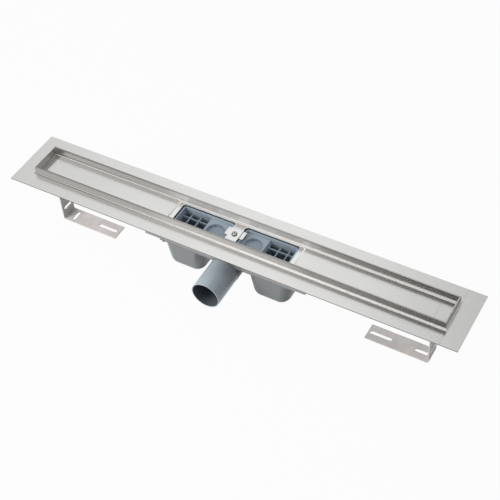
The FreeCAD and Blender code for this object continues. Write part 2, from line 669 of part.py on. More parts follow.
# Assembly
def build():
    end_piece = make_end_piece()
    insert = make_insert()
    seal = make_seal()
    lug = make_lug()
    return {
        "channel_tray": make_tray(),
        "end_piece_left": mirrored(end_piece),
        "end_piece_right": end_piece,
        "window_plate": make_window_plate(),
        "sump_pan": make_pan(),
        "siphon_body": make_siphon(),
        "outlet_pipe": make_pipe(),
        "siphon_gasket": make_gasket(),
        "siphon_nuts": make_siphon_nuts(),
        "window_seal_left": mirrored(seal),
        "window_seal_right": seal,
        "trap_insert_left": mirrored(insert),
        "trap_insert_right": insert,
        "clamp_plate": make_clamp_plate(),
        "clamp_screw": make_clamp_screw(),
        "clamp_nut": make_clamp_nut(),
        "foot_bracket_left": mirrored(make_foot(True)),
        "foot_bracket_right": make_foot(False),
        "bracket_lug_left": mirrored(lug),
        "bracket_lug_right": lug,
        "bracket_bolts": pair(make_bracket_bolt()),
        "bracket_nuts": pair(make_bracket_nut()),
    }


os.makedirs("parts", exist_ok=True)
for name, shape in build().items():
    shape.exportStep("parts/" + name + ".step")
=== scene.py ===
"""Finishes and small parts of a linear shower drain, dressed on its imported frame.

The file is laid out as an add-on: one operator for each piece or group of like pieces and one for
the stage. Lengths are metres. X runs along the channel, the outlet points to -Y and Z is up.
"""
import math

import bpy
from bpy.props import FloatProperty, FloatVectorProperty, PointerProperty
from mathutils import Matrix, Vector


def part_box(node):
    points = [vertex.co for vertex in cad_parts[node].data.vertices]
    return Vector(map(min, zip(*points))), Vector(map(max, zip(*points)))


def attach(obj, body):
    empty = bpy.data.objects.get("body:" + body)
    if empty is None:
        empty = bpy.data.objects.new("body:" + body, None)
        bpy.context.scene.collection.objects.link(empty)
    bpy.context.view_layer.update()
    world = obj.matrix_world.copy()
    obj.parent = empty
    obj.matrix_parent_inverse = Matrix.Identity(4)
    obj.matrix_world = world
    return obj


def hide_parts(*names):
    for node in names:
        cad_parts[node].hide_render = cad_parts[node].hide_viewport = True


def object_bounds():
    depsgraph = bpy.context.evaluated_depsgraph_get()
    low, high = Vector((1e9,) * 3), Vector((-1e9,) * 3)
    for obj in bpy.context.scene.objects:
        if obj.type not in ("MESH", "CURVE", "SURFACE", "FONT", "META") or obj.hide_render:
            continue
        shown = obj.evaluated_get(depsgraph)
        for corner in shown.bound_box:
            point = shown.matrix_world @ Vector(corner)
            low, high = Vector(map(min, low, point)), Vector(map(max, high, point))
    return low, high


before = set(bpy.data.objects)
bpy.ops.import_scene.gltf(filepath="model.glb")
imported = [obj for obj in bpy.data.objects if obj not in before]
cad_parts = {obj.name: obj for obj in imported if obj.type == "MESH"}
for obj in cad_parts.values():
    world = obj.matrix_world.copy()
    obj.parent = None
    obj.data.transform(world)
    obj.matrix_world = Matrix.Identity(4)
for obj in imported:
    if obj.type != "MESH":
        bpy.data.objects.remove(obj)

bl_info = {
    "name": "Linear shower drain",
    "version": (1, 0, 0),
    "blender": (4, 5, 0),
    "location": "View3D > Sidebar > Drain",
    "description": "Finishes and small parts of a linear shower drain",
    "category": "Object",
}

BODY = "root"
MM = 0.001
CAD_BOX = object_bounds()
FLOOR_Z = CAD_BOX[0].z
RIM_X = 375 * MM         # half the rim's length, outside
RIM_Y = 29 * MM          # half its width, outside
RIM_WALL = 3 * MM
FOLD_RADIUS = 3 * MM     # soft folds on both sides of the rim's foot
CUTOUT_X = 118 * MM      # half the length of the floor's cut-out over the window plate
CUTOUT_Y = 23.5 * MM     # half its width
PLATE_Z = -1.5 * MM      # top face of the window plate
OVERLAP = 0.2 * MM       # how far an added piece reaches into what carries it


# Settings
class DrainSteelSettings(bpy.types.PropertyGroup):
    """Tints and grain of the steel parts."""
    tray_tint: FloatVectorProperty(
        name="Tray", description="Brushed steel of the flange, rim and channel floor",
        subtype="COLOR", size=3, min=0, max=1, default=(0.625, 0.600, 0.575))
    plate_tint: FloatVectorProperty(
        name="Plate", description="Brighter steel of the window plate and the clamp",
        subtype="COLOR", size=3, min=0, max=1, default=(0.690, 0.670, 0.650))
    # Partly the pan's dull steel, partly painted shade from under the flange.
    pan_tint: FloatVectorProperty(
        name="Pan", description="Dull steel of the sump pan",
        subtype="COLOR", size=3, min=0, max=1, default=(0.34, 0.335, 0.325))
    bracket_tint: FloatVectorProperty(
        name="Feet", description="Warm grey of the feet and lugs",
        subtype="COLOR", size=3, min=0, max=1, default=(0.59, 0.555, 0.535))
    fastener_tint: FloatVectorProperty(
        name="Fasteners", description="Turned and rolled steel of screws, bolts and nuts",
        subtype="COLOR", size=3, min=0, max=1, default=(0.50, 0.49, 0.48))
    weld_tint: FloatVectorProperty(
        name="Welds", description="Heat-tinted seams and spot welds",
        subtype="COLOR", size=3, min=0, max=1, default=(0.50, 0.49, 0.48))
    grain: FloatProperty(
        name="Grain", description="Width of one brushing streak",
        unit="LENGTH", min=0.0001, max=0.01, default=0.0009)
    grain_length: FloatProperty(
        name="Grain length", description="Length of one brushing streak",
        unit="LENGTH", min=0.001, max=1, default=0.070)
    roughness: FloatProperty(
        name="Roughness", description="Mean roughness of the brushed tray", min=0, max=1, default=0.17)


class DrainPlasticSettings(bpy.types.PropertyGroup):
    """Tints of the moulded and rubber parts."""
    siphon_tint: FloatVectorProperty(
        name="Siphon", description="Grey of the moulded siphon body",
        subtype="COLOR", size=3, min=0, max=1, default=(0.178, 0.188, 0.192))
    pipe_tint: FloatVectorProperty(
        name="Outlet", description="Blue-grey of the outlet pipe",
        subtype="COLOR", size=3, min=0, max=1, default=(0.350, 0.395, 0.430))
    insert_tint: FloatVectorProperty(
        name="Inserts", description="Pale blue-grey of the trap inserts",
        subtype="COLOR", size=3, min=0, max=1, default=(0.345, 0.408, 0.465))
    nut_tint: FloatVectorProperty(
        name="Cap nuts", description="Black of the siphon's cap nuts",
        subtype="COLOR", size=3, min=0, max=1, default=(0.012, 0.012, 0.012))
    rubber_tint: FloatVectorProperty(
        name="Seals", description="Black of the seals and the gasket",
        subtype="COLOR", size=3, min=0, max=1, default=(0.010, 0.010, 0.011))
    mould_radius: FloatProperty(
        name="Mould radius", description="Rounding of the moulded edges",
        unit="LENGTH", min=0, max=0.002, default=0.0004)


class DrainStageSettings(bpy.types.PropertyGroup):
    """Camera, floor and studio light."""
    target: FloatVectorProperty(
        name="Target", description="Point at the middle of the picture",
        subtype="TRANSLATION", size=3, default=(0.0401, -0.0202, 0.0))
    distance: FloatProperty(
        name="Distance", description="Camera to target", unit="LENGTH", default=1.7869)
    azimuth: FloatProperty(
        name="Azimuth", description="Camera's direction round the drain, from the front towards +X",
        subtype="ANGLE", default=math.radians(32.42))
    elevation: FloatProperty(
        name="Elevation", description="Camera's height above the horizon",
        subtype="ANGLE", default=math.radians(47.30))
    roll: FloatProperty(
        name="Roll", description="Turn of the camera about its own axis",
        subtype="ANGLE", default=math.radians(-4.126))
    lens: FloatProperty(
        name="Lens", description="Focal length in millimetres on a 36 mm sensor", default=81.42)
    floor_size: FloatProperty(
        name="Floor", description="Side of the square floor", unit="LENGTH", default=14.0)
    floor_tint: FloatVectorProperty(
        name="Floor tint", description="Pale grey of the floor",
        subtype="COLOR", size=3, min=0, max=1, default=(0.38, 0.38, 0.38))
    sky: FloatProperty(
        name="Light", description="Strength of the soft studio light", min=0, max=10, default=1.0)


# Selection and modifiers
def deselect_all():
    bpy.ops.object.select_all(action="DESELECT")


def make_active(obj):
    deselect_all()
    obj.select_set(True)
    bpy.context.view_layer.objects.active = obj


def edit(obj):
    """Opens obj in edit mode with its whole mesh selected."""
    make_active(obj)
    bpy.ops.object.mode_set(mode="EDIT")
    bpy.ops.mesh.select_all(action="SELECT")


def leave_edit():
    bpy.ops.object.mode_set(mode="OBJECT")


def apply_modifier(obj, kind, name, **values):
    make_active(obj)
    modifier = obj.modifiers.new(name, kind)
    for key, value in values.items():
        setattr(modifier, key, value)
    bpy.ops.object.modifier_apply(modifier=modifier.name)


def settle(obj):
    """Puts the object at the origin, unturned and unscaled, with its place in its mesh."""
    make_active(obj)
    bpy.ops.object.transform_apply(location=True, rotation=True, scale=True)


def tidy_mesh(obj):
    """Joins doubled corners and turns the faces outwards."""
    edit(obj)
    bpy.ops.mesh.remove_doubles(threshold=1e-6)
    bpy.ops.mesh.normals_make_consistent(inside=False)
    leave_edit()


def smooth(obj, degrees=32.0):
    make_active(obj)
    bpy.ops.object.shade_smooth_by_angle(angle=math.radians(degrees))


def round_edges(obj, width):
    """Rounds the edges where the surface turns by more than 38 degrees."""
    apply_modifier(obj, "BEVEL", "rounding", width=width, segments=2, limit_method="ANGLE",
                   angle_limit=math.radians(38.0), use_clamp_overlap=True)


def finish(obj, material, slot, *nodes):
    """Gives a finished piece its surface, its body and the frame nodes that it stands for."""
    obj.data.materials.clear()
    obj.data.materials.append(material)
    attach(obj, BODY)
    if nodes:
        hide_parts(*nodes)


def repaint(node, material):
    """A frame node keeps its shape and takes a better surface."""
    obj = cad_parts[node]
    for slot in obj.material_slots:
        slot.material = material


# Shapes
def rounded_copy(node, name, width):
    """A merged copy of a frame node with its sharp edges rounded."""
    obj = bpy.data.objects.new(name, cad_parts[node].data.copy())
    bpy.context.scene.collection.objects.link(obj)
    edit(obj)
    bpy.ops.mesh.remove_doubles(threshold=2e-6)
    bpy.ops.mesh.customdata_custom_splitnormals_clear()
    bpy.ops.mesh.dissolve_limited(angle_limit=math.radians(0.6), use_dissolve_boundaries=False)
    leave_edit()
    round_edges(obj, width)
    smooth(obj)
    even_shading(obj)
    return obj


def even_shading(obj):
    """Flat faces stay flat to the eye up to their rounded edges."""
    apply_modifier(obj, "WEIGHTED_NORMAL", "even", mode="FACE_AREA", weight=50, keep_sharp=True)


def turned(name, outline, steps=48):
    """A solid of revolution about Z: its outline of (radius, height) is extruded and spun."""
    deselect_all()
    bpy.ops.mesh.primitive_plane_add(size=MM)
    obj = bpy.context.object
    obj.name = name
    edit(obj)
    bpy.ops.mesh.merge(type="CENTER")
    start = Vector((outline[0][0], 0, outline[0][1]))
    bpy.ops.transform.translate(value=start)
    for (r0, z0), (r1, z1) in zip(outline, outline[1:]):
        bpy.ops.mesh.extrude_region_move(TRANSFORM_OT_translate={"value": (r1 - r0, 0, z1 - z0)})
    bpy.ops.mesh.select_all(action="SELECT")
    bpy.ops.mesh.spin(steps=steps, angle=2 * math.pi, center=(0, 0, 0), axis=(0, 0, 1))
    leave_edit()
    tidy_mesh(obj)
    return obj


def hex_prism(name, flats, z_low, z_high):
    """Upright hexagonal bar, measured across its flats."""
    deselect_all()
    bpy.ops.mesh.primitive_cylinder_add(
        vertices=6, radius=flats / math.sqrt(3), depth=z_high - z_low,
        location=(0, 0, (z_low + z_high) / 2))
    obj = bpy.context.object
    obj.name = name
    settle(obj)
    return obj


def combine(obj, other, operation):
    """Booleans another piece into obj and removes it."""
    apply_modifier(obj, "BOOLEAN", operation.lower(), operation=operation, object=other, solver="EXACT")
    bpy.data.objects.remove(other)


def placed(obj, turn=None, move=None):
    """Turns and then moves a finished mesh."""
    if turn is not None:
        obj.data.transform(turn)
    if move is not None:
        obj.data.transform(Matrix.Translation(move))
    return obj


def copies(master, names, moves):
    """The master and its copies, each with its own mesh at its own place."""
    made = []
    for name, move in zip(names, moves):
        obj = bpy.data.objects.new(name, master.data.copy())
        bpy.context.scene.collection.objects.link(obj)
        made.append(placed(obj, move=move))
    bpy.data.objects.remove(master)
    return made


def join(objects, name):
    make_active(objects[0])
    for obj in objects[1:]:
        obj.select_set(True)
    bpy.ops.object.join()
    objects[0].name = name
    return objects[0]


# Surfaces
class Surface:
    """A material under construction: a few short ways to add and join its nodes."""

    def __init__(self, name):
        self.material = bpy.data.materials.new(name)
        self.material.use_nodes = True
        self.tree = self.material.node_tree
        self.shader = self.tree.nodes["Principled BSDF"]
        self.place = self.tree.nodes.new("ShaderNodeTexCoord").outputs["Object"]

    def set(self, **values):
        for key, value in values.items():
            self.shader.inputs[key.replace("_", " ")].default_value = value

    def link(self, source, target):
        self.tree.links.new(source, target)

    def noise(self, scale, detail=3.0, roughness=0.55, distortion=0.0):
        """Noise on Object coordinates, its scale given for each axis."""
        mapping = self.tree.nodes.new("ShaderNodeMapping")
        mapping.inputs["Scale"].default_value = scale
        self.link(self.place, mapping.inputs["Vector"])
        node = self.tree.nodes.new("ShaderNodeTexNoise")
        node.inputs["Scale"].default_value = 1.0
        node.inputs["Detail"].default_value = detail
        node.inputs["Roughness"].default_value = roughness
        node.inputs["Distortion"].default_value = distortion
        self.link(mapping.outputs["Vector"], node.inputs["Vector"])
        return node.outputs["Fac"]

    def spread(self, value, low, high, start=0.3, end=0.7):
        """Maps a noise value to a range."""
        node = self.tree.nodes.new("ShaderNodeMapRange")
        node.inputs["From Min"].default_value = start
        node.inputs["From Max"].default_value = end
        node.inputs["To Min"].default_value = low
        node.inputs["To Max"].default_value = high
        self.link(value, node.inputs["Value"])
        return node.outputs["Result"]

    def blend(self, factor, first, second):
        """A colour between two, by a factor."""
        node = self.tree.nodes.new("ShaderNodeMix")
        node.data_type = "RGBA"
        self.link(factor, node.inputs["Factor"])
        for socket, colour in (("A", first), ("B", second)):
            target = [i for i in node.inputs if i.name == socket and i.type == "RGBA"][0]
            if isinstance(colour, bpy.types.NodeSocket):
                self.link(colour, target)
            else:
                target.default_value = (*colour, 1.0)
        return [o for o in node.outputs if o.type == "RGBA"][0]

    def calculate(self, operation, *values):
        """A Math node on one value or two."""
        node = self.tree.nodes.new("ShaderNodeMath")
        node.operation = operation
        for value, socket in zip(values, node.inputs):
            self.link(value, socket)
        return node.outputs[0]

    def along(self, axis):
        """The place along one axis of Object coordinates."""
        split = self.tree.nodes.new("ShaderNodeSeparateXYZ")
        self.link(self.place, split.inputs[0])
        return split.outputs[axis]

    def rise(self, axis, low, high):
        """0 before one place along an axis and 1 after another. If low is the higher one, it is
        the other way round."""
        node = self.tree.nodes.new("ShaderNodeMapRange")
        node.interpolation_type = "SMOOTHSTEP"
        node.inputs["From Min"].default_value = low
        node.inputs["From Max"].default_value = high
        self.link(self.along(axis), node.inputs["Value"])
        return node.outputs["Result"]

    def beyond(self, axis, low, high):
        """0 nearer to the middle along an axis and 1 further out, on both sides alike."""
        return self.spread(self.calculate("ABSOLUTE", self.along(axis)), 0, 1, low, high)

    def inside(self, axis_z, radius):
        """1 within a radius of an axis along Y, 0 outside it."""
        flat = self.tree.nodes.new("ShaderNodeVectorMath")
        flat.operation = "MULTIPLY_ADD"
        flat.inputs[1].default_value = (1, 0, 1)
        flat.inputs[2].default_value = (0, 0, -axis_z)
        self.link(self.place, flat.inputs[0])
        reach = self.tree.nodes.new("ShaderNodeVectorMath")
        reach.operation = "LENGTH"
        self.link(flat.outputs["Vector"], reach.inputs[0])
        return self.spread(reach.outputs["Value"], 1, 0, radius, radius + 0.4 * MM)

    def times(self, source, factor):
        """A colour or a value, scaled."""
        node = self.tree.nodes.new("ShaderNodeVectorMath")
        node.operation = "SCALE"
        node.inputs["Scale"].default_value = factor
        self.link(source, node.inputs[0])
        return node.outputs["Vector"]

    def shaded(self, tone, where, factor):
        """A colour that is scaled by a factor where a mask is 1."""
        return self.blend(where, tone, self.times(tone, factor))

    def roughen(self, noise, roughness, down, up):
        """Lets the roughness vary with a noise value, from a bit below its mean to a bit above."""
        self.link(self.spread(noise, roughness - down, roughness + up), self.shader.inputs["Roughness"])

    def bump(self, height, distance, strength):
        node = self.tree.nodes.new("ShaderNodeBump")
        node.inputs["Strength"].default_value = strength
        node.inputs["Distance"].default_value = distance
        self.link(height, node.inputs["Height"])
        self.link(node.outputs["Normal"], self.shader.inputs["Normal"])


def scaled(colour, factor):
    return tuple(min(1.0, c * factor) for c in colour)


BRUSHING = 0.6                       # how much softer a brushed face reflects across its grain
WALL_START = (2.4 * MM, 4.5 * MM)    # heights over which the flange's finish gives way to the rim's
WALL_SHADE = (2 * MM, 12 * MM)       # heights over which painted shade darkens the rim's wall upwards
HEM_START = (12.6 * MM, 13.4 * MM)   # heights over which painted shade darkens the hem's top
CUT_EDGE = (0.2 * MM, 0.1 * MM)      # how far inside the outline a cut edge starts and is full
END_SHADE = 0.55                     # how dark it is at the two ends
SIDE_SHADE = 0.3025                  # and along the two sides
HANDLED_X = (150 * MM, 110 * MM)     # where the rim beside the windows is dulled by hands
HANDLED_Y = (30 * MM, 28 * MM)


def brushed_steel(name, tint, roughness, grain, length, folded_up=False):
    """Steel with long fine streaks along X, and a faint cloudy tone. The rim is duller than the flange.
    Painted shade darkens the rim's wall towards its top, and its hem more. The cut edges are dark
    too, and the inside of the rim beside the windows is dulled by handling. On a sheet that is
    folded up at its end, the streaks run on up the fold."""
    surface = Surface(name)
    upright = length if folded_up else grain
    streaks = surface.noise((1 / length, 1 / grain, 1 / upright), detail=4.0, roughness=0.6)
    clouds = surface.noise((9.0, 22.0, 22.0), detail=3.0)
    tone = surface.blend(surface.spread(streaks, 0, 1), scaled(tint, 0.96), scaled(tint, 1.03))
    tone = surface.blend(surface.spread(clouds, 0.0, 0.30), tone, scaled(tint, 0.90))
    # Painted shade: the rim's wall grows darker towards its top.
    tone = surface.shaded(tone, surface.rise("Z", *WALL_SHADE), 0.95)
    if not folded_up:
        # Painted shade: the hem's top is darker still.
        tone = surface.shaded(tone, surface.rise("Z", *HEM_START), 0.50)
    reach = CAD_BOX[1]
    start, full = CUT_EDGE
    tone = surface.shaded(tone, surface.beyond("X", reach.x - start, reach.x - full), END_SHADE)
    tone = surface.shaded(tone, surface.beyond("Y", reach.y - start, reach.y - full), SIDE_SHADE)
    surface.link(tone, surface.shader.inputs["Base Color"])
    wall = surface.rise("Z", *WALL_START)
    rough = surface.spread(streaks, roughness - 0.03, roughness + 0.04)
    rough = surface.calculate("ADD", rough, surface.times(wall, 0.08))
    surface.link(rough, surface.shader.inputs["Roughness"])
    surface.bump(streaks, 0.00001, 0.5)
    across = surface.tree.nodes.new("ShaderNodeTangent")
    across.direction_type = "RADIAL"
    across.axis = "Y" if folded_up else "X"
    surface.link(across.outputs["Tangent"], surface.shader.inputs["Tangent"])
    surface.set(Anisotropic=BRUSHING, Anisotropic_Rotation=0.25 if folded_up else 0.0)
    handled = surface.calculate("MULTIPLY", wall, surface.beyond("Y", *HANDLED_Y))
    handled = surface.calculate("MULTIPLY", surface.beyond("X", *HANDLED_X), handled)
    surface.link(surface.spread(handled, 1.0, 0.35, 0, 1), surface.shader.inputs["Metallic"])
    return surface.material


def pickled_steel(name, tint, roughness, metallic=1.0):
    """Dull bent sheet: blotchy tone, no clear direction. An oxide film makes it less of a mirror."""
    surface = Surface(name)
    blotches = surface.noise((60.0, 60.0, 60.0), detail=5.0, roughness=0.65)
    fine = surface.noise((900.0, 900.0, 900.0), detail=2.0)
    tone = surface.blend(surface.spread(blotches, 0, 1), scaled(tint, 0.88), scaled(tint, 1.08))
    surface.link(tone, surface.shader.inputs["Base Color"])
    surface.roughen(blotches, roughness, 0.06, 0.08)
    surface.bump(fine, 0.00002, 0.35)
    surface.set(Metallic=metallic)
    return surface.material


def turned_steel(name, tint, roughness):
    """Machined or rolled steel of small fasteners."""
    surface = Surface(name)
    marks = surface.noise((300.0, 300.0, 2200.0), detail=2.0)
    tone = surface.blend(surface.spread(marks, 0, 1), scaled(tint, 0.85), scaled(tint, 1.05))
    surface.link(tone, surface.shader.inputs["Base Color"])
    surface.roughen(marks, roughness, 0.05, 0.08)
    surface.set(Metallic=1.0)
    return surface.material


def moulded_plastic(name, tint, roughness, bore=None, deep=None):
    """Satin plastic: a fine spark-eroded grain, faint flow clouds. Inside a bore along Y (its height
    and radius), or below a depth, the plastic is darkened by painted shade."""
    surface = Surface(name)
    clouds = surface.noise((28.0, 28.0, 28.0), detail=3.0, distortion=0.4)
    grain = surface.noise((2400.0, 2400.0, 2400.0), detail=2.0)
    tone = surface.blend(surface.spread(clouds, 0, 1), scaled(tint, 0.95), scaled(tint, 1.04))
    if deep is not None:
        # Painted shade: darker below the given depth.
        tone = surface.blend(surface.rise("Z", deep, deep - 8 * MM), tone, scaled(tint, 0.62))
    if bore is not None:
        # Painted shade: darker inside the bore.
        tone = surface.blend(surface.inside(*bore), tone, scaled(tint, 0.25))
    surface.link(tone, surface.shader.inputs["Base Color"])
    surface.roughen(clouds, roughness, 0.03, 0.05)
    surface.bump(grain, 0.00003, 0.4)
    return surface.material


def rubber(name, tint):
    """Soft matt rubber with a bloom of slightly lighter patches."""
    surface = Surface(name)
    bloom = surface.noise((140.0, 140.0, 140.0), detail=4.0)
    tone = surface.blend(surface.spread(bloom, 0, 1), tint, scaled(tint, 2.2))
    surface.link(tone, surface.shader.inputs["Base Color"])
    surface.roughen(bloom, 0.65, 0.10, 0.10)
    surface.bump(bloom, 0.00008, 0.4)
    return surface.material


def tray_steel():
    steel = bpy.context.scene.drain_steel
    return bpy.data.materials.get("tray_steel") or brushed_steel(
        "tray_steel", tuple(steel.tray_tint), steel.roughness, steel.grain, steel.grain_length)


def end_steel():
    steel = bpy.context.scene.drain_steel
    return bpy.data.materials.get("end_piece_steel") or brushed_steel(
        "end_piece_steel", tuple(steel.tray_tint), steel.roughness, steel.grain, steel.grain_length,
        folded_up=True)


def fold_steel():
    """The folds: darkened on the left as painted shade, brightened towards the right end as a painted
    highlight.
    """
    steel = bpy.context.scene.drain_steel
    surface = Surface("fold_steel")
    tint = tuple(steel.tray_tint)
    streaks = surface.noise((1 / steel.grain_length, 1 / steel.grain, 1 / steel.grain),
                            detail=4.0, roughness=0.6)
    ground = surface.rise("X", -330 * MM, 120 * MM)
    # Painted highlight: the fold brightens towards the right end; on the left it is darkened as painted
    # shade.
    tone = surface.blend(ground, scaled(tint, 0.74), scaled(tint, 1.25))
    tone = surface.shaded(tone, surface.spread(streaks, 0.25, 0), 0.85)
    surface.link(tone, surface.shader.inputs["Base Color"])
    surface.roughen(streaks, steel.roughness, 0.03, 0.05)
    surface.link(surface.spread(ground, 1.0, 0.25, 0, 1), surface.shader.inputs["Metallic"])
    return surface.material


def plate_steel():
    """The plate's own rolling: a little duller than the tray, with shorter streaks."""
    steel = bpy.context.scene.drain_steel
    return bpy.data.materials.get("plate_sheet_steel") or brushed_steel(
        "plate_sheet_steel", tuple(steel.plate_tint), steel.roughness + 0.04, steel.grain, 20 * MM)


def fastener_steel():
    tint = tuple(bpy.context.scene.drain_steel.fastener_tint)
    return bpy.data.materials.get("bolt_steel") or turned_steel("bolt_steel", tint, roughness=0.26)


# Pieces
SEAM_Y = 32.2 * MM       # a flange's seam starts here, outside the outer fold
TAB_Y = 23.2 * MM        # half the seam across the floor
SPOT_X = 122 * MM        # spot welds stand beyond both ends of the cut-out
SPOT_Y = 15 * MM         # and this far apart


class DRAIN_OT_channel(bpy.types.Operator):
    """Brushes the folded tray and its ends and adds their folds, braze, weld seams and spot welds"""
    bl_idname = "drain.channel"
    bl_label = "Channel"

    def execute(self, context):
        repaint("channel_tray", tray_steel())
        for side in ("left", "right"):
            repaint("end_piece_" + side, end_steel())
        outer = rim_fold("outer_fold", RIM_X, RIM_Y, 1)
        inner = rim_fold("inner_fold", RIM_X - RIM_WALL, RIM_Y - RIM_WALL, -1)
        folds = join([outer, inner], "rim_folds")
        smooth(folds, degrees=40.0)
        finish(folds, fold_steel(), "steel")
        braze = cutout_braze()
        smooth(braze, degrees=40.0)
        steel = context.scene.drain_steel
        tint = scaled(tuple(steel.tray_tint), 1.38)
        finish(braze, pickled_steel("braze_steel", tint, roughness=0.55, metallic=0.1), "steel")
        seam_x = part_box("channel_tray")[1].x
        tab_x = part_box("end_piece_right")[0].x
        flange_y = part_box("channel_tray")[1].y
        beads = [weld_bead(seam_x, SEAM_Y, flange_y), weld_bead(seam_x, -flange_y, -SEAM_Y),
                 weld_bead(tab_x, -TAB_Y, TAB_Y)]
        weld = pickled_steel("weld_steel", tuple(steel.weld_tint), roughness=0.42)
        finish(join(beads, "end_weld_seams"), weld, "steel")
        marks = [spot_weld(side * SPOT_X, step * SPOT_Y) for side in (-1, 1) for step in (-1, 0, 1)]
        finish(join(marks, "plate_spot_welds"), tray_steel(), "steel")
        return {"FINISHED"}


def fold_arc(radius, steps=10):
    """Offsets (out from the corner, up) along a concave fold of the given radius."""
    arc = []
    for i in range(steps + 1):
        a = math.radians(90.0 * i / steps)
        arc.append((radius * (1 - math.sin(a)), radius * (1 - math.cos(a))))
    return arc


def rim_fold(name, half_x, half_y, side):
    """A soft fold all round the rim's foot: outside it (side 1), where the rim stands up from the
    flange, or inside it (side -1), where the channel floor starts."""
    loops = [(half_x + side * out, half_y + side * out, up) for out, up in fold_arc(FOLD_RADIUS)]
    foot = side * FOLD_RADIUS
    back = side * OVERLAP
    loops += [(half_x - back, half_y - back, FOLD_RADIUS), (half_x - back, half_y - back, -OVERLAP),
              (half_x + foot, half_y + foot, -OVERLAP)]
    return framed(name, loops + loops[:1])


def cutout_braze():
    """The brazed bead that fills the step between the floor's cut edge and the plate below it. Its
    slope is broad at the two ends and narrow along the sides."""
    slope = ((3.2, 0.5, -1.5), (2.4, 0.4, -1.25), (0.8, 0.15, -0.2), (0, 0, 0))    # in X, in Y, up
    loops = [(CUTOUT_X - in_x * MM, CUTOUT_Y - in_y * MM, up * MM) for in_x, in_y, up in slope]
    under = PLATE_Z - OVERLAP
    loops += [(CUTOUT_X + OVERLAP, CUTOUT_Y + OVERLAP, 0),
              (CUTOUT_X + OVERLAP, CUTOUT_Y + OVERLAP, under), (*loops[0][:2], under)]
    return framed("cutout_braze", loops + loops[:1])


def framed(name, loops):
    """A ring of oblong loops (half length, half width, height), each extruded from the last."""
    deselect_all()
    bpy.ops.mesh.primitive_plane_add(size=2.0)
    obj = bpy.context.object
    obj.name = name
    edit(obj)
    bpy.ops.mesh.delete(type="ONLY_FACE")
    bpy.ops.mesh.select_all(action="SELECT")
    x, y, z = loops[0]
    bpy.ops.transform.resize(value=(x, y, 1))
    bpy.ops.transform.translate(value=(0, 0, z))
    for (x0, y0, z0), (x1, y1, z1) in zip(loops, loops[1:]):
        bpy.ops.mesh.extrude_region_move(TRANSFORM_OT_translate={"value": (0, 0, z1 - z0)})
        bpy.ops.transform.resize(value=(x1 / x0, y1 / y0, 1), center_override=(0, 0, z1))
    leave_edit()
    tidy_mesh(obj)
    return obj


def weld_bead(x, y0, y1):
    """A flat ground weld along Y on the sheet's top face."""
    width = 0.45 * MM
    height = 0.04 * MM
    deselect_all()
    bpy.ops.mesh.primitive_cube_add(size=1.0, location=(x, (y0 + y1) / 2, height / 2),
                                    scale=(width, y1 - y0, height))
    bead = bpy.context.object
    settle(bead)
    round_edges(bead, height * 0.8)
    return bead


def spot_weld(x, y):
    """A shallow ring pressed up round a spot weld."""
    reach = 2.2 * MM
    ring = 0.03 * MM
    middle = 0.02 * MM
    outline = [(0, -OVERLAP), (reach, -OVERLAP), (reach, 0), (1.9 * MM, ring), (1.6 * MM, ring),
               (1.2 * MM, middle), (0, middle)]
    spot = turned("spot", outline, steps=24)
    smooth(spot)
    return placed(spot, move=(x, y, 0))


class DRAIN_OT_plate(bpy.types.Operator):
    """Eases the edges of the window plate"""
    bl_idname = "drain.plate"
    bl_label = "Window plate"

    def execute(self, context):
        plate = rounded_copy("window_plate", "window_plate_eased", width=0.3 * MM)
        finish(plate, plate_steel(), "plate_steel", "window_plate")
        return {"FINISHED"}


class DRAIN_OT_pan(bpy.types.Operator):
    """Gives the sump pan its soft folds and dull steel, whose dark tint is partly painted shade"""
    bl_idname = "drain.pan"
    bl_label = "Sump pan"

    def execute(self, context):
        steel = context.scene.drain_steel
        pan = rounded_copy("sump_pan", "sump_pan_folded", width=0.25 * MM)
        # The pan's dark tint is partly its dull steel and partly painted shade from under the flange.
        surface = pickled_steel("pan_sheet_steel", tuple(steel.pan_tint), roughness=0.42, metallic=0.6)
        finish(pan, surface, "pan_steel", "sump_pan")
        return {"FINISHED"}


class DRAIN_OT_siphon(bpy.types.Operator):
    """Rounds the moulded siphon body"""
    bl_idname = "drain.siphon"
    bl_label = "Siphon body"

    def execute(self, context):
        plastic = context.scene.drain_plastic
        body = rounded_copy("siphon_body", "siphon_body_moulded", plastic.mould_radius)
        combine(body, bowl_mould(), "INTERSECT")
        smooth(body, degrees=30.0)
        even_shading(body)
        surface = moulded_plastic("siphon_grey", tuple(plastic.siphon_tint), roughness=0.40)
        finish(body, surface, "siphon_plastic", "siphon_body")
        return {"FINISHED"}


def block(name, lo, hi):
    deselect_all()
    centre = [(a + b) / 2 for a, b in zip(lo, hi)]
    bpy.ops.mesh.primitive_cube_add(size=1.0, location=centre, scale=[b - a for a, b in zip(lo, hi)])
    obj = bpy.context.object
    obj.name = name
    settle(obj)
    return obj


def select_edges(obj, test):
    """In object mode: selects the edges whose two ends pass the test."""
    mesh = obj.data
    for items in (mesh.vertices, mesh.edges, mesh.polygons):
        for item in items:
            item.select = False
    for edge in mesh.edges:
        edge.select = test(*(mesh.vertices[i].co for i in edge.vertices))


def bevel_edges(obj, test, offset):
    """Rounds the edges that pass the test, in twelve steps."""
    select_edges(obj, test)
    make_active(obj)
    bpy.context.tool_settings.mesh_select_mode = (False, True, False)
    bpy.ops.object.mode_set(mode="EDIT")
    bpy.ops.mesh.bevel(offset=offset, offset_type="OFFSET", segments=12, affect="EDGES", profile=0.5)
    leave_edit()
    bpy.context.tool_settings.mesh_select_mode = (True, False, False)


